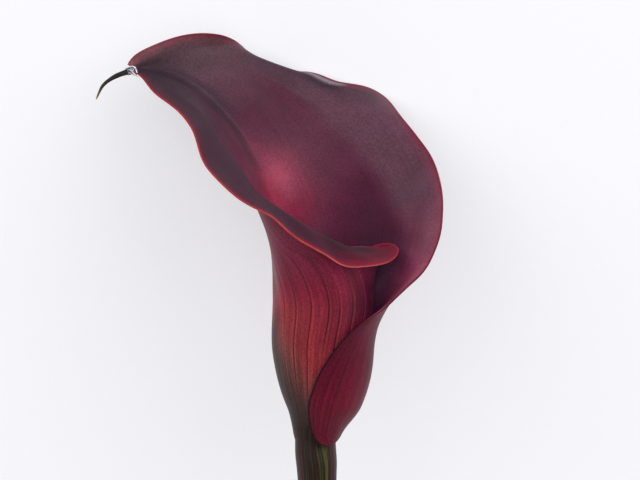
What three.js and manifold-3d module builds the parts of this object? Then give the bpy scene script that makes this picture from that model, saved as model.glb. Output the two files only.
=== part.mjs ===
// Calla lily flower, cut and laid on its back: a spathe wrapped into a funnel, the spadix
// inside it and a length of its stalk. Lengths are in millimetres and angles in degrees.
//
// The flower is drawn in its own frame: +X right, +Y along the flower towards the bloom and
// +Z out of the open mouth, with y = 0 where the spathe leaves the stalk. PLACE then moves it
// so that the origin is the middle of the footprint on the surface that it lies on.

import * as THREE from 'three';
import Module from 'manifold-3d';

const wasm = await Module();
wasm.setup();

const PLACE = new THREE.Vector3(13.15, 9.49, 38.58);

// Spathe: one sheet, wrapped more than once round.
const SHEET_BASE = 0.85;        // thickness where it clasps the stalk
const SHEET_RIM = 0.7;          // thickness of the open blade
const SHEET_THINS_OVER = 40;    // height over which it thins
const SHEET_ROWS = 64;
const SHEET_COLUMNS = 28;
const SHEET_END = 0.99;         // the ribs meet at the tip: the sheet stops just short of it
const MARGIN_CROWDING = 0.3;    // how far the columns crowd towards the two margins

// The tube's centre line sways sideways, and its radius grows with height.
const CENTRE_SWAY = [[-1.5, 0, 0], [1.6, 0.5, 8.5], [1.1, 22, 36]];   // [step, from, to]
const TUBE_HEIGHTS = [-2, 0, 2, 4, 8, 12, 16, 20, 25, 30, 36, 42];
const TUBE_RADII = [5.3, 5.55, 6.1, 6.9, 8.85, 10.4, 11.5, 12.3, 13, 13.4, 13.5, 13.4];
const WRAP_BASE = 1.3;          // how much deeper the inner margin lies than the outer one
const WRAP_MORE = 0.3;
const FLAP_SWELL = 0.95;        // the tube bulges this much under the flap, fading with height
const SWELL_FADES = [14, 32];

// Guide ribs run from the stalk to the tip. Each is [place across the sheet, angle at the
// base, angle 30 mm up, heights of its guide points on the tube, points above the tube].
// -1 is the inner margin, 0 the midrib and 1 the outer margin. A point is [angle round the
// tube, distance from its centre, height]; angle 0 faces the viewer, +90 is to the right.
const TIP = [-111.7, 54.7, 93.7];
const RIBS = [
  [-1, 30, 103, [0, 3, 7, 13, 20, 27], [
    [112, 11.9, 34], [125, 12, 41], [134, 13.2, 46.4], [124, 16.2, 48.7], [109, 17.3, 49],
    [84, 18.4, 47.3], [62, 19.1, 45.2], [44, 19.5, 44], [26, 19.5, 43.5], [14, 19.6, 43.8],
    [4, 19.5, 45.5], [-9, 19.8, 47.9], [-24, 20.8, 51.7], [-34, 21.7, 55.1], [-45, 23.3, 57.6],
    [-56, 25.8, 60.5], [-65, 28.5, 63.9], [-74, 30.4, 67.8], [-83, 31.6, 72.9], [-92, 33.5, 78.5],
    [-97, 36.4, 81.85], [-103, 41.4, 84.8], [-107, 46.4, 88.5], [-110, 50.4, 92.1]]],
  [-0.86, 12, 78, [0, 3, 7, 13, 20, 27], [
    [86, 12, 34], [90, 12.1, 41], [70, 12.5, 47.5], [28, 13.1, 48], [5, 13.6, 49.9],
    [-15, 14, 52.5], [-35, 14.9, 55.7], [-55, 16.5, 59.1], [-70, 18.7, 62.4], [-83, 21, 67.2],
    [-95, 24.8, 72.6], [-100, 27.7, 76.2], [-105, 31, 80.3], [-110, 37.9, 85.6],
    [-110.5, 44.3, 89.2], [-111, 49, 91.8]]],
  [0, -152, -130, [0, 3, 7, 13, 20, 27], [
    [-128, 12.9, 37], [-129, 13.35, 47], [-131, 15.25, 54.5], [-132, 18.2, 60.5], [-129, 20.5, 66],
    [-127, 23.4, 71.1], [-126, 27, 76.5], [-125, 30.7, 80.5], [-123, 35.9, 85.8], [-120, 40.9, 90],
    [-117, 46.5, 92.6]]],
  [0.3, -208, -195, [0.5, 4, 8, 13, 20, 27], [
    [-192, 13.2, 37], [-183, 15.3, 50], [-170, 20, 64], [-153, 26, 78], [-138, 32.5, 89],
    [-122, 43.5, 94.8]]],
  [0.6, -262, -250, [1.3, 4, 8, 13, 20, 27], [
    [-245, 14.2, 37], [-235, 18.8, 50], [-215, 24.8, 64], [-187, 29.5, 78.5], [-160, 33.7, 89.5],
    [-134, 38.2, 96.8], [-118, 46.5, 97.4]]],
  [0.86, -312, -300, [3, 7, 13, 20], [
    [-298, 13.7, 27.5], [-294, 14.8, 31], [-289.5, 17.7, 35], [-278, 24.2, 45], [-264, 27.8, 56],
    [-243, 29.4, 67], [-218, 31.9, 79], [-194, 35.2, 87.6], [-169, 35.6, 93.6], [-156, 37, 96.5],
    [-144, 37.6, 99.4], [-126, 41, 100.6], [-116, 47.8, 98.6]], [-312, 6.3, -0.7]],
  [1, 0, 0, [], [
    [-351, 6.2, -0.6], [-364, 6.3, 1.5], [-375, 7.3, 4.3], [-380, 9, 8], [-372, 10.6, 12.3],
    [-363, 11.8, 16.5], [-353, 12.5, 20.1], [-343, 13.1, 23.4], [-332, 13.6, 26.4],
    [-321, 14.1, 28.8], [-311, 14.6, 30.5], [-305, 15.7, 31.4], [-299, 17.4, 33.2],
    [-295, 19.9, 36], [-290, 22.6, 39], [-286, 25.3, 42], [-281, 27.8, 47.2],
    [-274, 29.2, 52.7], [-269, 29.5, 55.9], [-262, 30, 60], [-254, 30.5, 64.4], [-242, 30.8, 70.9],
    [-226, 32.4, 77.3], [-212, 35.9, 82.9], [-205.6, 39.2, 85.9], [-200.7, 40.8, 88.5],
    [-197.2, 40, 90], [-190.4, 37.6, 91], [-184.8, 36.3, 91.5], [-179, 36.5, 92.8],
    [-170, 38.52, 93.9], [-158, 41, 93.4], [-150, 40.6, 99.6], [-143, 38.5, 101.8], [-134, 37.5, 103],
    [-126, 39.5, 103.2], [-119, 43.8, 102.1], [-114, 48.3, 99.6], [-112, 51.2, 97.6],
    [-112, 52.7, 96]],
  [-331, 6.35, -1.4]],
];
const CREST = 1, MIDRIB = 2;    // the left wall is drawn straight from the crest to the midrib,
const WALL_RIBS = [0.3, 0.65];  // with helping ribs at these shares of the way

// Awn: the dry tail at the tip. Stations are [x, y, z, radius].
const AWN = [
  [-46.2, 93.1, -21.3, 0.85], [-48, 93.5, -20.5, 1], [-49.6, 93.05, -20.2, 0.82],
  [-51.7, 92.25, -20, 0.65], [-53.6, 91.2, -19.5, 0.56], [-55.3, 89.75, -18.8, 0.46],
  [-56.3, 88, -17.8, 0.38], [-57.15, 85.8, -16.5, 0.3]];
const AWN_SIDES = 10;
const AWN_STEPS = 14;

// Stalk, and the spadix that carries it on inside the tube. Stations are [y, x, z].
const STALK_LINE = [
  [-120, -0.6, -33.86], [-80, 0.6, -16.4], [-40, 0.3, -5.3], [-10, -0.65, -0.6], [0, -0.95, 0],
  [4, -1.1, 0.1]];
const STALK_RADII = [[-120, 5.2], [-60, 4.75], [-25, 4.6], [-10, 4.85], [-5, 5.15], [-0.45, 5.35]];
const STALK_SHOULDER = -0.45;   // the spathe's base stands on this shoulder
const NECK_RADIUS = 3.3;
const NECK_TOP = 1.9;
const STALK_SIDES = 24;
const STALK_STEPS = 20;
const CUT_SLANT = 0.22;         // rise of the cut end per millimetre across it

const SPADIX_LINE = [[2.5, -1.3, 0.1], [10, -0.6, 0], [24, 0.6, -0.6], [43.5, 1.2, -1.6]];
const SPADIX_GAP = 0.3;
// [from, to, florets round, rows, relief]
const PISTILLATE = [2.5, 13.2, 9, 8, 0.34];
const STAMINATE = [13.2 + SPADIX_GAP, 43.5, 12, 36, 0.22];
const SPADIX_RADII = [[2.5, 2.9], [5, 3.2], [13, 3.25], [25, 3.1], [36, 2.75], [40, 2.3], [42.4, 1.5], [43.5, 0.7]];

const COLOURS = {
  spathe: [0x6a1f35, 0.45], spadix_pistillate: [0x8c8a4a, 0.6], spadix_staminate: [0xd9a032, 0.75],
  scape: [0x35331f, 0.5],
};

const ease = (x, from, to) => {
  const f = THREE.MathUtils.clamp((x - from) / (to - from), 0, 1);
  return f * f * (3 - 2 * f);
};

// Second derivatives of the natural cubic through one column of numbers.
function bends(xs, ys) {
  const last = xs.length - 1;
  const carry = [0], value = [0], bend = new Array(xs.length).fill(0);
  for (let i = 1; i < last; i++) {
    const before = xs[i] - xs[i - 1], after = xs[i + 1] - xs[i];
    const turn = 6 * ((ys[i + 1] - ys[i]) / after - (ys[i] - ys[i - 1]) / before);
    const pivot = 2 * (before + after) - before * carry[i - 1];
    carry[i] = after / pivot;
    value[i] = (turn - before * value[i - 1]) / pivot;
  }
  for (let i = last - 1; i > 0; i--) bend[i] = value[i] - carry[i] * bend[i + 1];
  return bend;
}

// Natural cubic spline through rows of numbers, as a function that returns such a row.
function spline(xs, rows) {
  const columns = rows[0].map((_, c) => rows.map((row) => row[c]));
  const curved = columns.map((ys) => bends(xs, ys));
  return (x) => {
    let k = 0;
    while (k < xs.length - 2 && x > xs[k + 1]) k++;
    const h = xs[k + 1] - xs[k], a = (xs[k + 1] - x) / h, b = 1 - a;
    return columns.map((ys, c) => a * ys[k] + b * ys[k + 1]
      + ((a ** 3 - a) * curved[c][k] + (b ** 3 - b) * curved[c][k + 1]) * h * h / 6);
  };
}

const tubeSpline = spline(TUBE_HEIGHTS, TUBE_RADII.map((r) => [r]));
const tubeCentre = (y) => CENTRE_SWAY.reduce((x, [step, from, to]) => x + step * (to ? ease(y, from, to) : 1), 0);

function fromTube([angle, radius, height]) {
  const a = THREE.MathUtils.degToRad(angle);
  return new THREE.Vector3(tubeCentre(height) + radius * Math.sin(a), height, radius * Math.cos(a));
}

// A guide point on the wrapped tube: the inner margin lies deeper than the outer one.
function onTube(place, low, high, height) {
  const wrap = WRAP_BASE + WRAP_MORE * ease(height, 0, 10);
  const swell = place > 0.5 ? FLAP_SWELL * (1 - ease(height, ...SWELL_FADES)) : 0;
  const radius = tubeSpline(height)[0] - wrap * (1 - place) / 2 + swell;
  return [low + (high - low) * height / 30, radius, height];
}

// One rib as a spline over the share of its length.
function ribSpline([place, low, high, heights, points, foot]) {
  const guide = [...(foot ? [foot] : []), ...heights.map((y) => onTube(place, low, high, y)), ...points, TIP];
  return spline(sharesAlong(guide), guide);
}

const ribSplines = RIBS.map(ribSpline);

// All ribs at t, the share of the way from the stalk to the tip, with the wall's helping ribs.
function ribsAt(t) {
  const rows = ribSplines.map((rib) => rib(t));
  const wall = WALL_RIBS.map((f) => rows[CREST].map((v, c) => v + f * (rows[MIDRIB][c] - v)));
  return [...rows.slice(0, MIDRIB), ...wall, ...rows.slice(MIDRIB)];
}

// Shares of the distance run through a list of guide points.
function sharesAlong(guide) {
  const points = guide.map(fromTube), along = [0];
  for (let i = 1; i < points.length; i++) along.push(along[i - 1] + points[i].distanceTo(points[i - 1]));
  return along.map((d) => d / along.at(-1));
}

// The sheet's middle surface, a row at a time: u is the share of the way across.
function sheetRow(t) {
  const rows = ribsAt(t);
  const across = spline(sharesAlong(rows), rows);
  return (u) => fromTube(across(u));
}

// Middle point and unit normal, which points to the inner face.
function sheetPoint(t, u) {
  const e = 1e-3, row = sheetRow(t);
  const up = sheetRow(t + e)(u).sub(sheetRow(Math.max(t - e, 0))(u));
  const over = row(Math.min(u + e, 1)).sub(row(Math.max(u - e, 0)));
  return [row(u), over.cross(up).normalize()];
}

const columnPlace = (j) => {
  const u = 2 * j / SHEET_COLUMNS - 1;
  return (1 + u * (1 + MARGIN_CROWDING - MARGIN_CROWDING * u * u)) / 2;
};

// The sheet given its thickness: an inner and an outer skin on one grid, split into triangles
// the same way, and a strip round the edge.
function sheetSolid() {
  const points = [[], []], faces = [];
  for (let i = 0; i <= SHEET_ROWS; i++) {
    for (let j = 0; j <= SHEET_COLUMNS; j++) {
      const [middle, normal] = sheetPoint(SHEET_END * i / SHEET_ROWS, columnPlace(j));
      const thick = SHEET_BASE + (SHEET_RIM - SHEET_BASE) * ease(middle.y, 0, SHEET_THINS_OVER);
      points[0].push(middle.clone().addScaledVector(normal, thick / 2));
      points[1].push(middle.clone().addScaledVector(normal, -thick / 2));
    }
  }
  const wide = SHEET_COLUMNS + 1, skin = points[0].length;
  for (let i = 0; i < SHEET_ROWS; i++) {
    for (let j = 0; j < SHEET_COLUMNS; j++) {
      const a = i * wide + j, b = a + 1, c = b + wide, d = a + wide;
      faces.push([a, b, c], [a, c, d]);
      faces.push([a + skin, c + skin, b + skin], [a + skin, d + skin, c + skin]);
    }
  }
  const edge = sheetEdge(wide);
  edge.forEach((p, n) => {
    const q = edge[(n + 1) % edge.length];
    faces.push([q, p, p + skin], [q, p + skin, q + skin]);
  });
  return { points: points.flat(), faces };
}

// The grid's border, once round.
function sheetEdge(wide) {
  const top = SHEET_ROWS * wide, edge = [];
  for (let j = 0; j < SHEET_COLUMNS; j++) edge.push(j);
  for (let i = 0; i < SHEET_ROWS; i++) edge.push(i * wide + SHEET_COLUMNS);
  for (let j = SHEET_COLUMNS; j > 0; j--) edge.push(top + j);
  for (let i = SHEET_ROWS; i > 0; i--) edge.push(i * wide);
  return edge;
}

// A round solid along a line of centres. pointAt moves a ring's point after it is placed.
function sweep(centres, sides, across, radiusAt, pointAt = (p) => p) {
  const points = [], faces = [], last = centres.length - 1;
  centres.forEach((centre, i) => {
    const along = centres[Math.min(i + 1, last)].clone().sub(centres[Math.max(i - 1, 0)]).normalize();
    const right = across.clone().addScaledVector(along, -across.dot(along)).normalize();
    const up = along.clone().cross(right);
    for (let k = 0; k < sides; k++) {
      const turn = 2 * Math.PI * k / sides, radius = radiusAt(i, k);
      const p = centre.clone().addScaledVector(right, radius * Math.cos(turn));
      points.push(pointAt(p.addScaledVector(up, radius * Math.sin(turn)), i, centre));
    }
  });
  const first = points.push(centres[0].clone()) - 1, end = points.push(centres[last].clone()) - 1;
  for (let k = 0; k < sides; k++) {
    const next = (k + 1) % sides;
    faces.push([first, next, k], [end, last * sides + k, last * sides + next]);
    for (let i = 0; i < last; i++) {
      const a = i * sides + k, b = i * sides + next;
      faces.push([a, b, b + sides], [a, b + sides, a + sides]);
    }
  }
  return { points, faces };
}

function awnSolid() {
  const line = spline(AWN.map((_, i) => i), AWN);
  const stations = Array.from({ length: AWN_STEPS + 1 }, (_, i) => line((AWN.length - 1) * i / AWN_STEPS));
  const centres = stations.map(([x, y, z]) => new THREE.Vector3(x, y, z));
  return sweep(centres, AWN_SIDES, new THREE.Vector3(0, 0, 1), (i) => stations[i][3]);
}

// Centre line and radius given by stations along y.
const lineThrough = (stations) => {
  const ordered = spline(stations.map(([y]) => y), stations.map(([, x, z]) => [x, z]));
  return (y) => new THREE.Vector3(ordered(y)[0], y, ordered(y)[1]);
};
const profile = (stations) => {
  const curve = spline(stations.map(([y]) => y), stations.map(([, r]) => [r]));
  return (y) => curve(y)[0];
};

function stalkSolid() {
  const line = lineThrough(STALK_LINE), radius = profile(STALK_RADII);
  const low = STALK_RADII[0][0];
  const rings = Array.from({ length: STALK_STEPS + 1 }, (_, i) => {
    const y = low + (STALK_SHOULDER - low) * i / STALK_STEPS;
    return [y, radius(y)];
  });
  rings.push([STALK_SHOULDER, NECK_RADIUS], [NECK_TOP, NECK_RADIUS]);
  const slant = (p, i, centre) => (i ? p : p.setY(p.y + CUT_SLANT * (p.x - centre.x)));
  return sweep(rings.map(([y]) => line(y)), STALK_SIDES, new THREE.Vector3(1, 0, 0), (i) => rings[i][1], slant);
}

// One zone of the spadix. Florets stand in alternate rows, each a low pyramid of the relief.
function spadixZone([from, to, round, rows, relief]) {
  const line = lineThrough(SPADIX_LINE), radius = profile(SPADIX_RADII);
  const heights = Array.from({ length: rows + 1 }, (_, i) => from + (to - from) * i / rows);
  const bump = (i, k) => (i === 0 || i === rows ? 0 : (i + k) % 2 ? relief : -relief);
  return sweep(heights.map(line), 2 * round, new THREE.Vector3(1, 0, 0),
    (i, k) => Math.max(radius(heights[i]) + bump(i, k), 0.5));
}

function toManifold({ points, faces }) {
  const mesh = new wasm.Mesh({
    numProp: 3,
    vertProperties: new Float32Array(points.flatMap((p) => p.toArray())),
    triVerts: new Uint32Array(faces.flat()),
  });
  return new wasm.Manifold(mesh);
}

function fromManifold(solid) {
  const mesh = solid.getMesh();
  const geometry = new THREE.BufferGeometry();
  geometry.setAttribute('position', new THREE.BufferAttribute(mesh.vertProperties, 3));
  geometry.setIndex(new THREE.BufferAttribute(mesh.triVerts, 1));
  geometry.computeVertexNormals();
  return geometry;
}

function node(name, solid) {
  const [color, roughness] = COLOURS[name];
  const mesh = new THREE.Mesh(fromManifold(solid), new THREE.MeshStandardMaterial({ color, roughness, metalness: 0 }));
  mesh.name = name;
  return mesh;
}

const group = new THREE.Group();
group.position.copy(PLACE);
group.add(
  node('spathe', toManifold(sheetSolid()).add(toManifold(awnSolid()))),
  node('spadix_pistillate', toManifold(spadixZone(PISTILLATE))),
  node('spadix_staminate', toManifold(spadixZone(STAMINATE))),
  node('scape', toManifold(stalkSolid())),
);

export default group;
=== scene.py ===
# %% [markdown]
# # A calla lily, cut and laid on its back
#
# The flower is one sheet, the spathe, that wraps round itself into a funnel and flares out.
# Inside it stands the spadix with its florets, and a length of stalk carries both. This lesson
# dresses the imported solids: each one is replaced by a finer piece of the same size and place.
# It works in millimetres of the flower's own frame (x right, y up the flower, z out of its
# mouth) and turns them into metres of the row's frame where a mesh is made.

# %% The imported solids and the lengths
import math

import bmesh
import bpy
import numpy as np
from mathutils import Matrix, Vector


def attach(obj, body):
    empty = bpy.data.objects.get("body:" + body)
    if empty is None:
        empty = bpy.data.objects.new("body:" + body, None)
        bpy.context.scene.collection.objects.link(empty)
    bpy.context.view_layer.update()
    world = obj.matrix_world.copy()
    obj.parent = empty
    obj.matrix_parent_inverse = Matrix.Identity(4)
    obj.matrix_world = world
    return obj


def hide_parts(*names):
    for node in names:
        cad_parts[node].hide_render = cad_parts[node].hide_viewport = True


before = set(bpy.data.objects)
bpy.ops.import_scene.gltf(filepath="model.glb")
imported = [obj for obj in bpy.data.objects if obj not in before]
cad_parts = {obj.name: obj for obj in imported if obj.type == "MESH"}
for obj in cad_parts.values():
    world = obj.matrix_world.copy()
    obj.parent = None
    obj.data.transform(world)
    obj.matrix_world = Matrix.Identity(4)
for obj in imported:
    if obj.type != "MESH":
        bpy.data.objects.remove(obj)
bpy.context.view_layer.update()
MM = 0.001
PLACE = np.array([13.15, 9.49, 38.58])      # from the flower's frame to the row's, in mm
rng = np.random.default_rng(7)              # every scatter below comes from this seed


def to_row(points):
    """Points of the flower's frame in mm, as metres of the row's frame."""
    return (np.asarray(points, float) + PLACE) * MM


# %% [markdown]
# ## Smooth curves and steps
#
# A petal has no straight line in it. Every curve below runs through a handful of measured
# points as a natural cubic spline, the curve that a thin springy strip takes when it is held
# at those points. Blender's own curves could do it too, but their handles would have to be
# guessed, and the sheet needs the same spline across that it has along.

# %% A spline through rows of numbers, and soft steps
def spline(stops, rows):
    """The natural cubic through rows of numbers, as a function of the stop."""
    stops, rows = np.asarray(stops, float), np.asarray(rows, float)
    gap, last = np.diff(stops), len(stops) - 1
    pull, load = np.eye(last + 1), np.zeros(rows.shape)
    for i in range(1, last):
        pull[i, i - 1:i + 2] = gap[i - 1], 2 * (gap[i - 1] + gap[i]), gap[i]
        load[i] = 6 * ((rows[i + 1] - rows[i]) / gap[i] - (rows[i] - rows[i - 1]) / gap[i - 1])
    bend = np.linalg.solve(pull, load)

    def at(x):
        x = np.atleast_1d(np.asarray(x, float))
        k = np.clip(np.searchsorted(stops, x) - 1, 0, last - 1)
        h = gap[k][:, None]
        a = (stops[k + 1] - x)[:, None] / h
        b = 1 - a
        return a * rows[k] + b * rows[k + 1] + ((a**3 - a) * bend[k] + (b**3 - b) * bend[k + 1]) * h**2 / 6

    return at


def ease(x, start, end):
    """0 before start, 1 after end and a soft step between them."""
    f = np.clip((np.asarray(x, float) - start) / (end - start), 0, 1)
    return f * f * (3 - 2 * f)


def hump(x, middle, reach):
    """A soft band, 1 at its middle."""
    return np.exp(-((x - middle) / reach) ** 2)


def between(x, rise, risen, fall, fallen):
    """A band that rises softly from 0 to 1 and falls softly to 0 again."""
    return ease(x, rise, risen) * (1 - ease(x, fall, fallen))


print("half way up a soft step:", float(ease(0.5, 0, 1)))


# %% [markdown]
# ## One function for every material node
#
# A material is a small machine of nodes. One function adds a node, sets its values and plugs
# its links, so that each finish below reads as a list of steps. A socket is named by its name,
# or by its number where a node has two of one name. Colours are written as sRGB hex values.

# %% Adding a node
def linear(hex_colour):
    """An sRGB hex colour as the linear colour with alpha that Blender's sockets take."""
    parts = [int(hex_colour[i:i + 2], 16) / 255 for i in (1, 3, 5)]
    return tuple(c / 12.92 if c <= 0.04045 else ((c + 0.055) / 1.055) ** 2.4 for c in parts) + (1.0,)


def colour_or_number(value):
    return linear(value) if isinstance(value, str) else value


def plug(node, values, links):
    """Sets a node's own sockets, then its links. A node given as a source means its first output in use."""
    for key, value in values.items():
        node.inputs[key].default_value = colour_or_number(value)
    for key, source in links.items():
        if isinstance(source, bpy.types.Node):
            source = next(output for output in source.outputs if output.enabled)
        node.id_data.links.new(source, node.inputs[key])


def add(tree, kind, settings=None, links=None):
    """A new shader node with its settings and its incoming links."""
    node, values = tree.nodes.new("ShaderNode" + kind), {}
    for key, value in (settings or {}).items():
        if key == "ramp":
            ends = node.color_ramp.elements
            ends.remove(ends[1])
            for n, (at, colour) in enumerate(value.items()):
                stop = ends.new(at) if n else ends[0]
                stop.position, stop.color = at, colour_or_number(colour)
        elif isinstance(key, int) or key in node.inputs:
            values[key] = value
        else:
            setattr(node, key, value)
    plug(node, values, links or {})
    return node


def new_material(name):
    """An empty material: itself, its tree, its Principled shader and its coordinates."""
    material = bpy.data.materials.new(name)
    material.use_nodes = True
    tree = material.node_tree
    return material, tree, tree.nodes["Principled BSDF"], add(tree, "TexCoord").outputs


print("a palette entry in linear light:", tuple(round(c, 3) for c in linear("#6a1f35")))

# %% [markdown]
# ## The camera, the light and the floor
#
# The photograph was taken from well back with a long lens, so the flower shows hardly any
# perspective. The flower lies here, so that camera looks straight down. Soft light comes from
# all round: a large softbox at the upper right, a weaker one at the left, and one overhead that
# lights the skin but stays out of its reflections, as behind a polarising filter. The room is
# bright round the horizon, so silhouettes go grey where the skin mirrors it, and darker above.
# The floor is opal glass lit from below, as for catalogue pictures, which keeps shadows faint.

# %% Camera
CAMERA_DISTANCE = 800.0         # mm in front of the middle of the flower
camera_data = bpy.data.cameras.new("camera")
camera_data.lens = 180.0
camera_data.sensor_width = 36.0
camera_data.clip_end = 50.0
camera = bpy.data.objects.new("camera", camera_data)
bpy.context.collection.objects.link(camera)
camera.location = to_row([0.0, 50.0, CAMERA_DISTANCE])
bpy.context.scene.camera = camera
bpy.context.scene.view_settings.view_transform = "Standard"
print("camera at", tuple(round(c, 4) for c in camera.location))


# %% Softboxes and the room's own light
def softbox(name, place, size, power, colour="#ffffff"):
    """A square area lamp in metres and watts, aimed at the bloom."""
    lamp = bpy.data.lights.new(name, "AREA")
    lamp.size, lamp.energy, lamp.color = size, power, linear(colour)[:3]
    box = bpy.data.objects.new(name, lamp)
    bpy.context.collection.objects.link(box)
    box.location = place
    aim = Vector((0.0, 0.06, 0.03)) - Vector(place)
    box.rotation_euler = aim.to_track_quat("-Z", "Y").to_euler()
    return box


softbox("key_softbox", (0.85, 0.7, 0.95), 1.2, 9.0)
softbox("fill_softbox", (-0.9, 0.5, 0.9), 1.1, 5.0)
overhead = softbox("polarised_overhead", (-0.1, 0.1, 1.4), 1.4, 7.0)
overhead.visible_glossy = False

# The room: bright round the horizon, dark above the camera.
world = bpy.data.worlds.new("white_room")
bpy.context.scene.world = world
world.use_nodes = True
tree = world.node_tree
upwards = add(tree, "SeparateXYZ", {}, {0: add(tree, "TexCoord").outputs["Generated"]})
room = add(tree, "ValToRGB", {"ramp": {0.0: (0.75, 0.75, 0.77, 1), 0.45: (0.6, 0.6, 0.62, 1),
                                      0.85: (0.2, 0.2, 0.21, 1)}}, {"Fac": upwards.outputs["Z"]})
plug(tree.nodes["Background"], {}, {"Color": room})

# %% Floor
# opal glass is milky all through: matt, even and almost without a reflection
board, tree, surface, coords = new_material("opal_glass_board")
tooth = add(tree, "TexNoise", {"Scale": 400.0, "Detail": 2.0}, {"Vector": coords["Object"]})
shade = add(tree, "Mix", {"data_type": "RGBA", 6: "#bcbcbe", 7: "#bebec0"}, {0: tooth})
plug(surface, {"Roughness": 0.95, "Specular IOR Level": 0.1, "Emission Color": "#f6f6f9",
               "Emission Strength": 0.47}, {"Base Color": shade})

bm = bmesh.new()
bmesh.ops.create_grid(bm, x_segments=2, y_segments=2, size=4.0)
floor_mesh = bpy.data.meshes.new("floor")
bm.to_mesh(floor_mesh)
bm.free()
floor = bpy.data.objects.new("floor", floor_mesh)
bpy.context.collection.objects.link(floor)
floor.data.materials.append(board)
print("floor at z =", floor.location.z)

# %% [markdown]
# ## The spathe's surface
#
# The spathe is a petal-like leaf: one sheet that clasps the stalk, wraps a little more than
# once round, and then lets go. Its left margin rolls out over the front as a lip and ends in
# a small curl; its right margin lies over the tube as a rounded flap and runs up and round the
# back. Guide ribs describe it. Each runs from the stalk to the tip, like a real vein, and its
# points are given round the tube: the angle (0 faces the viewer, +90 is to the right), the
# distance from the tube's centre and the height. Sculpting could make such a form too, but
# ribs keep it smooth, measurable and the same as the solid.

# %% The tube and the ribs
CENTRE_SWAY = [(-1.5, None, None), (1.6, 0.5, 8.5), (1.1, 22, 36)]     # step sideways, from, to
TUBE_HEIGHTS = [-2, 0, 2, 4, 8, 12, 16, 20, 25, 30, 36, 42]
TUBE_RADII = [5.3, 5.55, 6.1, 6.9, 8.85, 10.4, 11.5, 12.3, 13, 13.4, 13.5, 13.4]
WRAP_BASE, WRAP_MORE = 1.3, 0.3         # how much deeper the inner margin lies than the outer
FLAP_SWELL, SWELL_FADES = 0.95, (14, 32)    # the tube bulges under the flap, fading with height
LOW_HEIGHTS = [0, 3, 7, 13, 20, 27]
TIP = (-111.7, 54.7, 93.7)
# place across the sheet: (angle at the base, angle 30 mm up, heights on the tube, points above)
RIBS = {
    -1: (30, 103, LOW_HEIGHTS, [
        (112, 11.9, 34), (125, 12, 41), (134, 13.2, 46.4), (124, 16.2, 48.7), (109, 17.3, 49),
        (84, 18.4, 47.3), (62, 19.1, 45.2), (44, 19.5, 44), (26, 19.5, 43.5), (14, 19.6, 43.8),
        (4, 19.5, 45.5), (-9, 19.8, 47.9), (-24, 20.8, 51.7), (-34, 21.7, 55.1), (-45, 23.3, 57.6),
        (-56, 25.8, 60.5), (-65, 28.5, 63.9), (-74, 30.4, 67.8), (-83, 31.6, 72.9),
        (-92, 33.5, 78.5), (-97, 36.4, 81.85), (-103, 41.4, 84.8), (-107, 46.4, 88.5),
        (-110, 50.4, 92.1)]),
    -0.86: (12, 78, LOW_HEIGHTS, [
        (86, 12, 34), (90, 12.1, 41), (70, 12.5, 47.5), (28, 13.1, 48), (5, 13.6, 49.9),
        (-15, 14, 52.5), (-35, 14.9, 55.7), (-55, 16.5, 59.1), (-70, 18.7, 62.4), (-83, 21, 67.2),
        (-95, 24.8, 72.6), (-100, 27.7, 76.2), (-105, 31, 80.3), (-110, 37.9, 85.6),
        (-110.5, 44.3, 89.2), (-111, 49, 91.8)]),
    0: (-152, -130, LOW_HEIGHTS, [
        (-128, 12.9, 37), (-129, 13.35, 47), (-131, 15.25, 54.5), (-132, 18.2, 60.5),
        (-129, 20.5, 66), (-127, 23.4, 71.1), (-126, 27, 76.5), (-125, 30.7, 80.5),
        (-123, 35.9, 85.8), (-120, 40.9, 90), (-117, 46.5, 92.6)]),
    0.3: (-208, -195, [0.5, 4, 8, 13, 20, 27], [
        (-192, 13.2, 37), (-183, 15.3, 50), (-170, 20, 64), (-153, 26, 78), (-138, 32.5, 89),
        (-122, 43.5, 94.8)]),
    0.6: (-262, -250, [1.3, 4, 8, 13, 20, 27], [
        (-245, 14.2, 37), (-235, 18.8, 50), (-215, 24.8, 64), (-187, 29.5, 78.5),
        (-160, 33.7, 89.5), (-134, 38.2, 96.8), (-118, 46.5, 97.4)]),
    0.86: (-312, -300, [3, 7, 13, 20], [
        (-298, 13.7, 27.5), (-294, 14.8, 31), (-289.5, 17.7, 35), (-278, 24.2, 45), (-264, 27.8, 56),
        (-243, 29.4, 67), (-218, 31.9, 79), (-194, 35.2, 87.6), (-169, 35.6, 93.6), (-156, 37, 96.5),
        (-144, 37.6, 99.4), (-126, 41, 100.6), (-116, 47.8, 98.6)]),
    1: (0, 0, [], [
        (-351, 6.2, -0.6), (-364, 6.3, 1.5), (-375, 7.3, 4.3), (-380, 9, 8), (-372, 10.6, 12.3),
        (-363, 11.8, 16.5), (-353, 12.5, 20.1), (-343, 13.1, 23.4), (-332, 13.6, 26.4),
        (-321, 14.1, 28.8), (-311, 14.6, 30.5), (-305, 15.7, 31.4), (-299, 17.4, 33.2),
        (-295, 19.9, 36), (-290, 22.6, 39), (-286, 25.3, 42), (-281, 27.8, 47.2),
        (-274, 29.2, 52.7), (-269, 29.5, 55.9), (-262, 30, 60), (-254, 30.5, 64.4),
        (-242, 30.8, 70.9), (-226, 32.4, 77.3), (-212, 35.9, 82.9), (-205.6, 39.2, 85.9),
        (-200.7, 40.8, 88.5), (-197.2, 40, 90), (-190.4, 37.6, 91), (-184.8, 36.3, 91.5),
        (-179, 36.5, 92.8), (-170, 38.52, 93.9), (-158, 41, 93.4), (-150, 40.6, 99.6),
        (-143, 38.5, 101.8), (-134, 37.5, 103), (-126, 39.5, 103.2), (-119, 43.8, 102.1),
        (-114, 49, 99.5), (-112, 52.3, 97.4), (-112, 54.4, 95.2)]),
}
RIB_FEET = {0.86: (-312, 6.3, -0.7), 1: (-331, 6.35, -1.4)}    # where a rib starts off the tube
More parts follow.
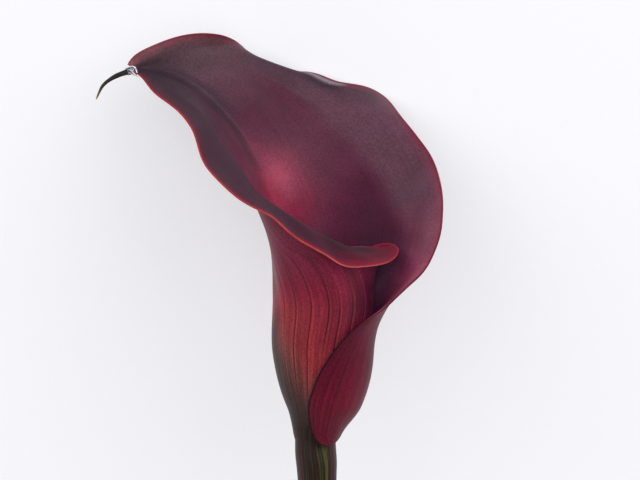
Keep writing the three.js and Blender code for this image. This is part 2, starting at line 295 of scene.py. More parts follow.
WALL_SHARES = (0.3, 0.65)       # helping ribs on the left wall, between its crest and the midrib
print(len(RIBS), "ribs,", sum(len(rib[3]) for rib in RIBS.values()), "guide points above the tube")


# %% From guide points to a surface
tube_radius = spline(TUBE_HEIGHTS, [[r] for r in TUBE_RADII])


def tube_centre(y):
    return sum(step * (ease(y, start, end) if start is not None else 1.0) for step, start, end in CENTRE_SWAY)


def from_tube(guide):
    """Guide points [angle, distance, height] as x, y, z."""
    guide = np.asarray(guide, float)
    turn = np.radians(guide[..., 0])
    return np.stack([tube_centre(guide[..., 2]) + guide[..., 1] * np.sin(turn), guide[..., 2],
                     guide[..., 1] * np.cos(turn)], -1)


def shares_along(points):
    """How far along a line each of its points lies, from 0 to 1."""
    steps = np.linalg.norm(np.diff(points, axis=0), axis=1)
    return np.concatenate([[0], np.cumsum(steps)]) / steps.sum()


def rib_curve(place):
    low, high, heights, above = RIBS[place]
    points = [RIB_FEET[place]] if place in RIB_FEET else []
    for y in heights:
        wrap = float(WRAP_BASE + WRAP_MORE * ease(y, 0, 10))
        swell = FLAP_SWELL * float(1 - ease(y, *SWELL_FADES)) if place > 0.5 else 0.0
        radius = float(tube_radius(y)[0, 0]) - wrap * (1 - place) / 2 + swell
        points.append((low + (high - low) * y / 30, radius, y))
    points += above + [TIP]
    return spline(shares_along(from_tube(points)), points)


curves = {place: rib_curve(place) for place in sorted(RIBS)}


def ribs_at(t):
    """All ribs at the shares t of their lengths, with the wall's helping ribs: [t, rib, 3]."""
    rows = [curve(t) for curve in curves.values()]
    crest, midrib = rows[1], rows[2]
    return np.stack(rows[:2] + [crest + f * (midrib - crest) for f in WALL_SHARES] + rows[2:], 1)


def sheet_surface(across, up):
    """Middle surface at the shares across and up, and where on each row its ribs lie."""
    guides = ribs_at(np.asarray(up))
    shares = np.array([shares_along(from_tube(row)) for row in guides])
    points = from_tube(np.stack([spline(s, row)(across) for s, row in zip(shares, guides)]))
    return points, shares


print("the ribs meet at", from_tube(TIP).round(1), "mm")

# %% [markdown]
# ## The sheet as a mesh
#
# A grid is the right start for a sheet: its columns are veins and its rows cross them. Blender
# makes it flat, with a UV map, and each vertex then moves to its place on the surface. The
# columns crowd towards the two margins, where the sheet rolls most tightly. What a petal has
# on top of its large form goes in here as real relief: the groove of the midrib, faint ripples
# along the margins, and the slight unevenness of a grown thing.

# %% Grid columns and rows
COLUMNS, ROWS = 152, 232
MARGIN_CROWDING = 0.3
SHEET_END = 0.994               # the ribs meet at the tip: the sheet stops just short of it
places = np.linspace(-1, 1, COLUMNS + 1)
across = (1 + places * (1 + MARGIN_CROWDING - MARGIN_CROWDING * places**2)) / 2
up = np.linspace(0, SHEET_END, ROWS + 1)
sheet, rib_shares = sheet_surface(across, up)

# A vein keeps its share of the sheet all the way up, so the ribs' average shares name the veins.
vein_stops = rib_shares[20:-20].mean(0)
vein = np.array([np.interp(across, shares, vein_stops) for shares in rib_shares])
steps = np.linalg.norm(np.diff(sheet, axis=1), axis=2)
from_left = np.pad(np.cumsum(steps, 1), ((0, 0), (1, 0)))       # mm from the left margin
from_right = from_left[:, -1:] - from_left
print("veins of the ribs:", vein_stops.round(3), "widest row:", round(float(from_left[:, -1].max()), 1), "mm")

# %% Relief
MIDRIB_DEPTH, MIDRIB_WIDTH = 0.36, 1.3      # mm
RIDGE_DEPTH, RIDGE_PLACE = 0.14 * MIDRIB_DEPTH, 1.9     # mm: a low ridge beside the groove
RIPPLE, RIPPLE_REACH = 0.22, 5.0            # mm
UNEVENNESS = 0.10                           # mm
VEIN_LENGTH = 150.0                         # mm, about the mean of all veins
rows = np.repeat(up[:, None], COLUMNS + 1, 1)
inward = np.cross(np.gradient(sheet, axis=1), np.gradient(sheet, axis=0))   # towards the inner face
inward /= np.maximum(np.linalg.norm(inward, axis=2, keepdims=True), 1e-9)
midrib_vein = vein_stops[4]
off_midrib = (vein - midrib_vein) * from_left[:, -1:]
midrib_fade = between(rows, 0.42, 0.52, 0.86, 0.97)
groove = -MIDRIB_DEPTH * hump(off_midrib, 0, MIDRIB_WIDTH)
ridge = RIDGE_DEPTH * hump(off_midrib, RIDGE_PLACE, 0.5 * MIDRIB_WIDTH)
margin = np.minimum(from_left, from_right)
length_mm = rows * VEIN_LENGTH
waves = np.sin(length_mm / 4.3 + 1.0) + 0.6 * np.sin(length_mm / 2.1 + 3 * vein)
ripple = RIPPLE * np.exp(-margin / RIPPLE_REACH) * waves * ease(rows, 0.3, 0.4)
x, y, z = np.moveaxis(sheet, -1, 0)
uneven = UNEVENNESS * np.sin(x / 5.1 + 1.3) * np.sin(y / 6.7) * np.sin(z / 5.9 + 0.4)
relief = (groove + ridge) * midrib_fade + (ripple + uneven) * (1 - ease(rows, 0.9, 0.97))
sheet = sheet + inward * relief[..., None]
print("relief from", round(float(relief.min()), 2), "to", round(float(relief.max()), 2), "mm")

# %% [markdown]
# ## Zones of pigment, with painted light and shade
#
# A calla's colour comes in broad soft zones: crimson deep in the throat, plum above it, a duller
# mauve on the open right side and a brown foot. Painted light and shade are laid in with them:
# near-black painted shade in the valley between plum and mauve, painted highlights in rose, and
# painted shade along folds and edges. Painting them on an image would tie them to one picture
# size. The zones follow the veins and the length of the sheet, so they are worked out on its grid
# here and kept as colours on the vertices. The materials then draw veins and grain over them.

# %% Laying pigments and painted light
def ramp(x, stops):
    """Colours between the stops {position: hex}, at the positions x."""
    colours = np.array([linear(colour)[:3] for colour in stops.values()])
    return np.stack([np.interp(x, list(stops), colours[:, c]) for c in range(3)], -1)


def lay(under, *pigments_and_light):
    """Pigments and painted light laid one over another, each a colour and its share."""
    for colour, share in pigments_and_light:
        over = np.array(linear(colour)[:3]) if isinstance(colour, str) else colour
        under = under + share[..., None] * (over - under)
    return under


def spot(across_at, across_reach, up_at, up_reach):
    """A soft oval patch, 1 at its middle."""
    return hump(vein, across_at, across_reach) * hump(rows, up_at, up_reach)


crest_vein = float(vein_stops[1])
print("the lip's crest is the vein", round(crest_vein, 3), "and the midrib", round(float(midrib_vein), 3))

# %% Plum, mauve and the painted shade of the valley
inside = ramp(rows, {
    0.20: "#7a2a55", 0.30: "#4a1230", 0.36: "#500f2d", 0.41: "#5a1535", 0.46: "#5c1936",
    0.51: "#5c253b", 0.60: "#5a293c", 0.67: "#522235", 0.72: "#502034", 0.76: "#542d3c",
    0.82: "#593945", 0.87: "#503740", 0.92: "#43303a", 1.0: "#382b33"})
# the open right side is duller, and this zone widens upwards; its rose at the foot, by the right margin, is a
# painted highlight
mauve = ramp(rows, {
    0.20: "#8f3653", 0.25: "#99415f", 0.31: "#642941", 0.36: "#673749", 0.41: "#5e3b4a",
    0.46: "#5e3a47", 0.51: "#613b4a", 0.56: "#5e3a49", 0.61: "#5e3b49", 0.66: "#5b3946",
    0.71: "#533542", 0.76: "#4a303c", 0.81: "#543741", 0.86: "#5e414b", 0.89: "#5c4149",
    0.93: "#553d44", 1.0: "#4a353b"})
mauve = lay(mauve, ("#3b2934", 0.6 * ease(vein, 0.87, 0.94) * between(rows, 0.58, 0.64, 0.78, 0.82)))
mauve_edge = (0.82 - 0.15 * np.clip(rows - 0.41, 0, 0.15) + 0.25 * np.clip(rows - 0.60, 0, 0.15)
              + 0.5 * np.clip(0.41 - rows, 0, 0.1) - 0.08 * ease(rows, 0.82, 0.90))
mauve_blur = 0.03 + 0.15 * ease(rows, 0.82, 0.90)
# painted shade: the valley between the plum and the mauve is darkened near-black where the right wall dives
# under
valley_vein = 0.775 + 0.55 * np.maximum(0.40 - rows, 0)
valley_shade = hump(vein, valley_vein, np.where(vein < valley_vein, 0.09, 0.042))
valley_shade = valley_shade * between(rows, 0.25, 0.34, 0.54, 0.62) * (1 - 0.75 * ease(rows, 0.42, 0.54))
inside = lay(
    inside, (mauve, ease((vein - mauve_edge) / mauve_blur, -1, 1)), ("#3c112c", 0.8 * valley_shade),
    # the crimson of the throat, and painted highlights in rose where the skin above it turns to the light
    ("#8a0a38", 0.85 * spot(0.555, 0.085, 0.49, 0.05)), ("#a8455e", 0.95 * spot(0.555, 0.075, 0.57, 0.05)),
    ("#8c374e", 0.8 * spot(0.46, 0.04, 0.615, 0.03)), ("#960f3c", 0.6 * spot(0.505, 0.03, 0.53, 0.03)),
    ("#84304b", 0.7 * spot(0.52, 0.035, 0.645, 0.04)),
    # painted light in violet in the shaded gap beside the tube, and a painted highlight in rose on the rim
    # above it
    ("#7e5270", 0.85 * spot(0.81, 0.055, 0.26, 0.045)), ("#9a5f70", 0.5 * spot(0.945, 0.035, 0.328, 0.04)))
print("open side:", round(float((vein > mauve_edge).mean()), 2), "of the grid")

# %% The left wall, the midrib and the lip
wall = ramp(rows, {
    0.40: "#63203a", 0.56: "#702840", 0.61: "#67293f", 0.66: "#5a2239", 0.71: "#4e1c31",
    0.76: "#471d30", 0.81: "#442536", 0.86: "#422e39", 0.92: "#3a2b34", 1.0: "#382b33"})
past_midrib = vein - midrib_vein
inside = lay(
    inside, (wall, 1 - ease(past_midrib, -0.02, 0)),
    # painted shade right of the midrib and in the midrib's groove, and a painted highlight on its edge
    ("#382733", 0.7 * hump(past_midrib, 0.045, 0.035) * between(rows, 0.70, 0.78, 0.90, 0.97)),
    ("#31232c", 0.5 * hump(past_midrib, 0.05, 0.06) * ease(rows, 0.86, 0.92)),
    ("#2a1c25", 0.6 * hump(off_midrib, 0.1, 1.7) * midrib_fade * ease(rows, 0.52, 0.62)),
    ("#7c5f6a", 0.16 * hump(off_midrib, 1.5, 0.35) * midrib_fade),
    ("#a3213f", 0.5 * spot(0.505, 0.03, 0.55, 0.05)))
# the outer strip of the lip: red at its very edge, with painted shade under its crest
brim = ramp(rows, {
    0.33: "#6a0529", 0.38: "#540321", 0.42: "#40001c", 0.50: "#3e041f", 0.60: "#360522",
    0.70: "#391527", 0.80: "#391829", 0.88: "#3b2430", 0.96: "#3a2a33"})
brim = lay(
    brim, ("#84142f", 0.85 * hump(from_left, 0, 1.8) * (1 - 0.6 * ease(rows, 0.52, 0.70))),
    ("#6c0024", 0.34 * (1 - ease(rows, 0.44, 0.56))),
    ("#1e0514", 0.7 * ease(from_left, 4.2, 6.5) * between(rows, 0.39, 0.42, 0.49, 0.53)))
inside = lay(inside, (brim, 1 - ease(vein, crest_vein - 0.012, crest_vein + 0.004)))
print("lip:", round(float((vein < crest_vein).mean()), 2), "of the grid")

# %% The right margin
# light shines through the thin sheet near its right margin
right_warm = ramp(rows, {
    0.25: "#965064", 0.40: "#883a50", 0.47: "#7a2f48", 0.55: "#66142f", 0.62: "#702a3d",
    0.80: "#66303d", 0.86: "#703a45", 0.91: "#84434f", 0.96: "#955a61"})
bent_rim = between(rows, 0.655, 0.672, 0.70, 0.745)
inside = lay(
    inside, (right_warm, 0.8 * hump(from_right, 0, 2.1) * (1 - bent_rim)),
    # where the rim bends back, a painted highlight: a pale strip where it catches the light, with a dark line
    # beside it
    ("#2e232b", 0.7 * bent_rim * hump(from_right, 3.0, 1.1)),
    ("#8a7f85", 0.95 * bent_rim * hump(from_right, 1.15, 0.7)))
print("inside pigment from", inside.min((0, 1)).round(3), "to", inside.max((0, 1)).round(3))

# %% The outside of the tube and the flap
heights = sheet[..., 1]
leftwards = np.maximum(vein - 0.27, 0)
# the dark foot rises towards the left of the tube, which is where the veins have high shares
dark_reach = heights - np.minimum(130 * leftwards, 17.0) * (1 - ease(heights, 28, 42))
outside = ramp(dark_reach, {
    2: "#2b201b", 5: "#35241f", 8.2: "#452b28", 12: "#643534", 15: "#7c3134", 19: "#83282f",
    24: "#872530", 30: "#801e31", 36: "#78152f", 42: "#6f1932", 50: "#6b1f38", 70: "#5c1a34",
    110: "#4a2030"})
outside = lay(
    outside, ("#6a2a48", (1 - ease(vein, 0.16, 0.25)) * between(heights, 10, 25, 52, 70)),
    # a painted sheen as a pale line down the tube's left side, and painted shade as a dark line lower down,
    # where the tube turns away
    ("#7f5e64", 0.62 * hump(vein, 0.405, 0.015) * between(heights, 30, 42, 50, 60)),
    ("#361820", 0.55 * hump(vein, 0.40, 0.02) * between(heights, 10, 16, 30, 36)),
    # the shade where the tube goes under the flap, and the light under the lip's end
    ("#2a0f24", 0.72 * hump(vein, 0.19, 0.045) * between(rows, 0.23, 0.27, 0.295, 0.325)),
    ("#4c0c22", 0.55 * hump(vein, 0.238, 0.03) * between(rows, 0.17, 0.21, 0.27, 0.30)),
    ("#a02c56", 0.45 * spot(0.230, 0.05, 0.338, 0.02)))
flap_share = ease(vein, 0.80, 0.88)
flap = ramp(heights, {
    0: "#570f22", 10: "#600a24", 21: "#54031f", 29: "#560a26", 40: "#551029", 80: "#551a31"})
# painted shadow: a near-black line along the flap's lower edge, where it lies on the tube
flap_edge_shadow = 0.95 * (1 - ease(from_right, 0.2, 0.8)) * (1 - ease(rows, 0.14, 0.20))
outside = lay(outside, (flap, flap_share), ("#190a11", flap_edge_shadow))
stalk_like = (1 - ease(heights - np.minimum(40 * leftwards, 4.0), 0.5, 6.5)) * (1 - flap_share)
below = np.maximum(46 - heights, 0)
vein_lean = 0.0025 * below**2 / (below + 8) * (1 - flap_share)      # low down, the drawn veins stand upright
vein_share = 0.25 + 0.75 * ease(heights, 4, 12) * (1 - 0.75 * ease(heights, 30, 47)) * (1 - flap_share)
print("outside pigment from", outside.min((0, 1)).round(3), "to", outside.max((0, 1)).round(3))

# %% Building the sheet
def finish_piece(bm, name, slot, *materials):
    """Turns a bmesh into an object that rides with the flower."""
    mesh = bpy.data.meshes.new(name)
    bm.to_mesh(mesh)
    bm.free()
    piece = bpy.data.objects.new(name, mesh)
    bpy.context.collection.objects.link(piece)
    for material in materials:
        piece.data.materials.append(material)
    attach(piece, "root")
    print(name, len(mesh.polygons), "faces")
    return piece


def give_wall(piece, thickness, offset):
    """Makes a sheet solid: a thickness in mm, laid to one side of it or shared (0)."""
    wall = piece.modifiers.new("wall", "SOLIDIFY")
    wall.thickness, wall.offset = thickness * MM, offset
    return wall


SHEET_THICKNESS = 0.72          # mm
MARGIN_THINNING = 0.5           # the blade thins to this share of it along its margins
FOOT_THINNING = 0.12            # and to this share where it clasps the stalk
STALK_SKIN_RADIUS = 5.0         # mm: the stalk's streaks run on up the sheath at this radius
turn = np.arctan2(sheet[..., 0] - tube_centre(heights), sheet[..., 2])
skin = np.stack([STALK_SKIN_RADIUS * np.sin(turn), heights, STALK_SKIN_RADIUS * np.cos(turn)], -1) * MM
clasp = np.maximum(ease(heights, -0.5, 7.0), ease(vein, 0.86, 0.97))
thin = FOOT_THINNING + (1 - FOOT_THINNING) * clasp
thin = thin * (MARGIN_THINNING + (1 - MARGIN_THINNING) * ease(margin, 0.0, 3.0))
placed = to_row(sheet)

bm = bmesh.new()
uv_map = bm.loops.layers.uv.new("UVMap")
bmesh.ops.create_grid(bm, x_segments=COLUMNS, y_segments=ROWS, size=1.0)
numbers, vectors, colours = bm.verts.layers.float, bm.verts.layers.float_vector, bm.verts.layers.float_color
# the two colour attributes hold the pigment with painted light and shade laid into it
kept = [(numbers.new("from_left_mm"), from_left), (numbers.new("from_right_mm"), from_right),
        (vectors.new("skin"), skin), (numbers.new("stalk_like"), stalk_like),
        (colours.new("inside_pigment"), np.dstack([inside, np.ones_like(vein)])),
        (colours.new("outside_pigment"), np.dstack([outside, vein_share]))]
weights = bm.verts.layers.deform.verify()
span = max(v.co.x for v in bm.verts)
for v in bm.verts:
    i = round((v.co.y / span + 1) / 2 * ROWS)
    j = round((v.co.x / span + 1) / 2 * COLUMNS)
    v.co = placed[i, j]
    for layer, values in kept:
        v[layer] = values[i, j]
    v[weights][0] = thin[i, j]
    for corner in v.link_loops:
        corner[uv_map].uv = (vein[i, j] + vein_lean[i, j], up[i])
bmesh.ops.reverse_faces(bm, faces=bm.faces)         # so that they look outwards
for face in bm.faces:
    face.smooth = True
spathe = finish_piece(bm, "spathe_sheet", "spathe")
spathe.vertex_groups.new(name="thickness")
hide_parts("spathe")

# %% Thickness and a rounded margin
# Solidify gives each face its own material: 0 outside, 1 inside and 2 on the margin.
sheet_wall = give_wall(spathe, SHEET_THICKNESS, 0.0)
sheet_wall.vertex_group = "thickness"
sheet_wall.material_offset, sheet_wall.material_offset_rim = 1, 2
rounding = spathe.modifiers.new("rounded_margin", "BEVEL")
rounding.limit_method, rounding.angle_limit = "ANGLE", math.radians(60)
rounding.width, rounding.segments = 0.2 * MM, 2
print("modifiers:", [m.name for m in spathe.modifiers])

# %% [markdown]
# ## Petal skin
#
# A petal is a thin wet sheet under a skin of dome-shaped cells. The cells give it a satin,
# slightly velvety look, and light that goes in comes out again a little way off, deeper in
# colour. So the finish is a Principled shader with a red base, a little subsurface, a little
# sheen and a middling roughness. Streaks and veins are drawn along the UV map's second
# direction, which runs up the sheet, so they follow every curl. The wine-red outside and the
# plum inside share the streaks and the grain, the outside adds veins, and the margin is red.

# %% Veins and grain
def skin_pattern(tree, coords):
    """The place on the UV map, wavering as veins do, then the streaks along it and the grain."""
    # a vein wavers by about half a millimetre, and a streak is half a millimetre wide
    waver = add(tree, "TexNoise", {"Scale": 4.0, "Detail": 2.0}, {"Vector": coords["UV"]})
    bent = add(tree, "VectorMath", {"operation": "MULTIPLY_ADD", 1: (0.012, 0.0, 0.0)},
               {0: waver.outputs["Color"], 2: coords["UV"]})
    streak_place = add(tree, "Mapping", {"Scale": (230.0, 5.0, 1.0)}, {"Vector": bent})
    streak = add(tree, "TexNoise", {"Scale": 1.0, "Detail": 3.0, "Roughness": 0.7}, {"Vector": streak_place})
    # skin cells are under 0.1 mm: their clumps are drawn 0.5 mm wide, so that they show
    grain = add(tree, "TexNoise", {"Scale": 1900.0, "Detail": 2.0, "Roughness": 0.7},
                {"Vector": coords["Object"]})
    return bent, streak, grain


def lines_at(tree, place, width, high):
    """Lines as strong as high, one at each border of 38 uneven strips across the sheet.

    The sheet is some 100 mm wide, so there is a line every 2 to 4 mm."""
    strips = add(tree, "TexVoronoi", {"voronoi_dimensions": "1D", "feature": "DISTANCE_TO_EDGE", "Scale": 38.0,
                                      "Randomness": 0.9}, {"W": place})
    return add(tree, "MapRange", {"interpolation_type": "SMOOTHSTEP", "From Min": 0.01, "From Max": width,
                                  "To Min": high, "To Max": 0.0}, {"Value": strips})


def varied(tree, colour, *patterns):
    """Scales a colour by patterns, each (socket, share at its low end, share at its high end)."""
    for pattern, low, high in patterns:
        tone = add(tree, "MapRange", {"From Min": 0.3, "From Max": 0.7, "To Min": low, "To Max": high},
                   {"Value": pattern})
        colour = add(tree, "VectorMath", {"operation": "SCALE"}, {0: colour, "Scale": tone})
    return colour


print("patterns ready: streaks, grain and lines")

# %% Streaks of the stalk
def stalk_streaks(tree):
    """The stalk's colour and its thin streaks. The skin attribute carries them seamlessly round."""
    skin, noises = add(tree, "Attribute", {"attribute_name": "skin"}), {}
    # brown-black on one side, an olive stripe right of the middle, then reddish
    round_place = add(tree, "SeparateXYZ", {}, {0: skin.outputs["Vector"]})
    place = add(tree, "MapRange", {"From Min": -5.0 * MM, "From Max": 5.0 * MM},
                {"Value": round_place.outputs["X"]})
    sides = ((0.0, 0.42), (0.5, 0.38), (0.58, 0.50), (0.68, 0.60), (0.78, 0.55), (0.87, 0.30), (1.0, 0.27))
    total = add(tree, "ValToRGB", {"ramp": {at: (v, v, v, 1) for at, v in sides}}, {"Fac": place})
    # a streak is 0.15 to 1 mm wide and several centimetres long
    for name, scale, share in (("fine", (3400.0, 30.0, 3400.0), 1.1), ("thin", (1300.0, 12.0, 1300.0), 0.4),
                               ("wide", (420.0, 4.0, 420.0), 0.2)):
        place = add(tree, "Mapping", {"Scale": scale, "Location": (3.1, 0.0, 5.2)},
                    {"Vector": skin.outputs["Vector"]})
        noises[name] = add(tree, "TexNoise", {"Scale": 1.0, "Detail": 2.0}, {"Vector": place})
        swing = add(tree, "MapRange", {"To Min": -share / 2, "To Max": share / 2}, {"Value": noises[name]})
        total = add(tree, "Math", {"operation": "ADD"}, {0: total, 1: swing})
    colour = add(tree, "ValToRGB", {"ramp": {0.18: "#4c2026", 0.32: "#33191a", 0.42: "#211613", 0.50: "#1f1a14",
                                             0.60: "#38361b", 0.72: "#4b4726"}}, {"Fac": total})
    return colour, noises["thin"]


print("the stalk's pattern is ready too")

# %% The outside
# a waxy skin over wet flesh: satin and wine red, with a little gloss on the ridges between furrows
outer, tree, surface, coords = new_material("petal_skin_outside")
bent, streak, grain = skin_pattern(tree, coords)
bent_vein = add(tree, "SeparateXYZ", {}, {0: bent})
# its colour is the pigment with painted light and shade laid into it
pigment_with_light = add(tree, "Attribute", {"attribute_name": "outside_pigment"})
# main veins 0.3 mm thick, and 0.4 mm beside each a painted highlight in a lighter red
main_lines = lines_at(tree, bent_vein.outputs["X"], 0.075, 1.0)
beside = add(tree, "Math", {"operation": "ADD", 1: 0.0038}, {0: bent_vein.outputs["X"]})
vein_side_highlights = lines_at(tree, beside, 0.09, 0.3)
# a vein sinks into the flesh here and there, and shows up again further on
fade_place = add(tree, "Mapping", {"Scale": (38.0, 7.0, 1.0)}, {"Vector": coords["UV"]})
fade_noise = add(tree, "TexNoise", {"Scale": 1.0, "Detail": 1.0}, {"Vector": fade_place})
fade = add(tree, "MapRange", {"From Min": 0.32, "From Max": 0.6, "To Min": 0.15}, {"Value": fade_noise})
strengths = []
for lines in (main_lines, vein_side_highlights):
    faded = add(tree, "Math", {"operation": "MULTIPLY"}, {0: lines, 1: fade})
    strengths.append(add(tree, "Math", {"operation": "MULTIPLY"}, {0: faded, 1: pigment_with_light.outputs["Alpha"]}))
# bands of flesh 2 mm wide show a little lighter or darker
band_place = add(tree, "Mapping", {"Scale": (55.0, 2.5, 1.0), "Location": (2.0, 1.0, 0.0)},
                 {"Vector": coords["UV"]})
bands = add(tree, "TexNoise", {"Scale": 1.0, "Detail": 2.0}, {"Vector": band_place})
flesh = varied(tree, pigment_with_light.outputs["Color"], (streak, 0.62, 1.38), (grain, 0.82, 1.18), (bands, 0.78, 1.22))
veined = add(tree, "Mix", {"data_type": "RGBA", "blend_type": "MULTIPLY", 7: "#9c5865"},
             {0: strengths[0], 6: flesh})
lit = add(tree, "Mix", {"data_type": "RGBA", "blend_type": "SCREEN", 7: "#8c3a2c"},
          {0: strengths[1], 6: veined})
print("outside, its colour:", len(tree.nodes), "nodes")

# %% The outside's foot and finish
# low down, the sheath takes on the stalk's own streaks, with a ragged border
stalk_colour, _ = stalk_streaks(tree)
foot = add(tree, "Attribute", {"attribute_name": "stalk_like"})
ragged = add(tree, "Math", {"operation": "MULTIPLY_ADD", 1: 0.9}, {0: streak, 2: foot.outputs["Fac"]})
stalk_share = add(tree, "MapRange", {"interpolation_type": "SMOOTHSTEP", "From Min": 0.7, "From Max": 1.25},
                  {"Value": ragged})
skin_colour = add(tree, "Mix", {"data_type": "RGBA"}, {0: stalk_share, 6: lit, 7: stalk_colour})
rough = add(tree, "MapRange", {"To Min": 0.38, "To Max": 0.56}, {"Value": grain})
furrow = add(tree, "Math", {"operation": "MULTIPLY_ADD", 1: -0.8}, {0: strengths[0], 2: streak})
furrow_bump = add(tree, "Bump", {"Strength": 0.3, "Distance": 0.1 * MM}, {"Height": furrow})
grain_bump = add(tree, "Bump", {"Strength": 0.3, "Distance": 0.05 * MM},
                 {"Height": grain, "Normal": furrow_bump})
plug(surface, {"IOR": 1.42, "Specular IOR Level": 0.22, "Subsurface Weight": 0.12, "Subsurface Scale": 0.8 * MM,
               "Subsurface Radius": (1.0, 0.25, 0.35)},
     {"Base Color": varied(tree, skin_colour, (grain, 0.88, 1.12)), "Roughness": rough, "Normal": grain_bump})
print("outside:", len(tree.nodes), "nodes")

# %% The inside
# the same skin with taller cells: more velvety, plum, with faint blotches 5 mm wide
inner, tree, surface, coords = new_material("petal_skin_inside")
_, streak, grain = skin_pattern(tree, coords)
# its colour is the pigment with painted light and shade laid into it
pigment_with_light = add(tree, "Attribute", {"attribute_name": "inside_pigment"})
mottle = add(tree, "TexNoise", {"Scale": 210.0, "Detail": 3.0}, {"Vector": coords["Object"]})
toned = varied(tree, pigment_with_light.outputs["Color"], (mottle, 0.90, 1.10), (streak, 0.87, 1.13), (grain, 0.76, 1.24))
# light comes through the thin margins: each shows a red line
glow = {}
for side, start, end, high in (("left", 0.12, 0.5, 1.0), ("right", 0.1, 0.9, 0.8)):
    away = add(tree, "Attribute", {"attribute_name": f"from_{side}_mm"})
    glow[side] = add(tree, "MapRange", {"interpolation_type": "SMOOTHSTEP", "From Min": start, "From Max": end,
                                        "To Min": high, "To Max": 0.0}, {"Value": away.outputs["Fac"]})
length = add(tree, "SeparateXYZ", {}, {0: coords["UV"]})
right_line = add(tree, "ValToRGB", {"ramp": {0.86: "#7c1634", 0.96: "#84404b"}}, {"Fac": length.outputs["Y"]})
left_edged = add(tree, "Mix", {"data_type": "RGBA", 7: "#a3262e"}, {0: glow["left"], 6: toned})
edged = add(tree, "Mix", {"data_type": "RGBA"}, {0: glow["right"], 6: left_edged, 7: right_line})
rough = add(tree, "MapRange", {"To Min": 0.40, "To Max": 0.60}, {"Value": grain})
furrow_bump = add(tree, "Bump", {"Strength": 0.25, "Distance": 0.1 * MM}, {"Height": streak})
grain_bump = add(tree, "Bump", {"Strength": 0.35, "Distance": 0.05 * MM},
                 {"Height": grain, "Normal": furrow_bump})
plug(surface, {"IOR": 1.42, "Specular IOR Level": 0.2, "Subsurface Weight": 0.2, "Subsurface Scale": 0.8 * MM,
               "Subsurface Radius": (1.0, 0.25, 0.45), "Sheen Weight": 0.02, "Sheen Roughness": 0.45,
               "Sheen Tint": "#e6d6e2"}, {"Base Color": edged, "Roughness": rough, "Normal": grain_bump})
print("inside:", len(tree.nodes), "nodes")

# %% The margin
# the cut edge of a thin wet leaf: light passes through it, so it is the brightest red line
rim, tree, surface, coords = new_material("petal_margin")
place = add(tree, "SeparateXYZ", {}, {0: coords["UV"]})
left_reds = {0.36: "#641628", 0.44: "#96404a", 0.49: "#bd6c68", 0.54: "#b14b43", 0.60: "#b03c33",
             0.8: "#a32629", 1.0: "#8c1c2a"}
# low on the flap the margin is painted near-black, as painted shadow along the flap's edge
right_reds_and_shadow = {0.10: "#190a11", 0.15: "#2c0e19", 0.21: "#5c142c", 0.60: "#78142e", 0.88: "#841a30",
              1.0: "#7c3540"}
left_colour = add(tree, "ValToRGB", {"ramp": left_reds}, {"Fac": place.outputs["Y"]})
right_colour = add(tree, "ValToRGB", {"ramp": right_reds_and_shadow}, {"Fac": place.outputs["Y"]})
side = add(tree, "Mix", {"data_type": "RGBA"}, {0: place.outputs["X"], 6: left_colour, 7: right_colour})
along_noise = add(tree, "TexNoise", {"Scale": 260.0, "Detail": 3.0}, {"Vector": coords["Object"]})
plug(surface, {"Roughness": 0.45, "IOR": 1.42, "Specular IOR Level": 0.3, "Subsurface Weight": 0.2,
               "Subsurface Scale": 0.6 * MM, "Subsurface Radius": (1.0, 0.3, 0.3)},
     {"Base Color": varied(tree, side, (along_noise, 0.72, 1.28))})
for material in (outer, inner, rim):
    spathe.data.materials.append(material)
print("spathe materials:", [m.name for m in spathe.data.materials])

# %% [markdown]
# ## Rolled tubes
#
# The stalk, the dry tail and the spadix's core are all long round things. Each is a grid that
# is rolled up and welded along its seam: the grid's first direction goes round and its second
# goes along. A curve with a bevel is quicker, but a rolled grid keeps a clean UV map, and the
# skin's streaks need to know how far round and how far along each point lies.

# %% Rolling a grid into a tube
def rolled(name, round_steps, long_steps, point, skin_at=None, capped=True):
    """A tube whose vertex at the shares (round, along) is point(round, along), in mm."""
    bm = bmesh.new()
    uv_map = bm.loops.layers.uv.new("UVMap")
    bmesh.ops.create_grid(bm, x_segments=round_steps, y_segments=long_steps, size=1.0)
    skin_layer = bm.verts.layers.float_vector.new("skin")
    span = max(v.co.x for v in bm.verts)
    for v in bm.verts:
        turn, along = (v.co.x / span + 1) / 2, (v.co.y / span + 1) / 2
        v.co = to_row(point(turn, along))
        if skin_at:
            v[skin_layer] = skin_at(turn, along)
        for corner in v.link_loops:
            corner[uv_map].uv = (turn, along)
    bmesh.ops.remove_doubles(bm, verts=bm.verts, dist=0.002 * MM)
    if capped:
        ends = [e for e in bm.edges if e.is_boundary]
        bmesh.ops.holes_fill(bm, edges=ends, sides=0)
    bmesh.ops.recalc_face_normals(bm, faces=bm.faces)
    for face in bm.faces:
        face.smooth = len(face.verts) < 5
    return bm


def line_frame(line, y):
    """Centre of a line at the height y, its direction, and the two directions across it."""
    (x, z), (x2, z2) = line(y)[0], line(y + 0.01)[0]
    centre, along = np.array([x, y, z]), np.array([x2 - x, 0.01, z2 - z])
    along /= np.linalg.norm(along)
    side = np.array([1.0, 0.0, 0.0]) - along * along[0]
    side /= np.linalg.norm(side)
    return centre, along, side, np.cross(side, along)


print("tubes can be rolled: their skin is laid out at a radius of", STALK_SKIN_RADIUS, "mm")

# %% [markdown]
# ## The stalk
#
# The scape is a round, fleshy stalk. At its top it meets the foot of the sheath without a
# step: its last millimetres swell or draw in to the very curve that the sheet starts from,
# and only the flap's rounded foot stands proud of it. It was cut aslant at its lower end,
# where the pale pith shows the bundles of vessels.

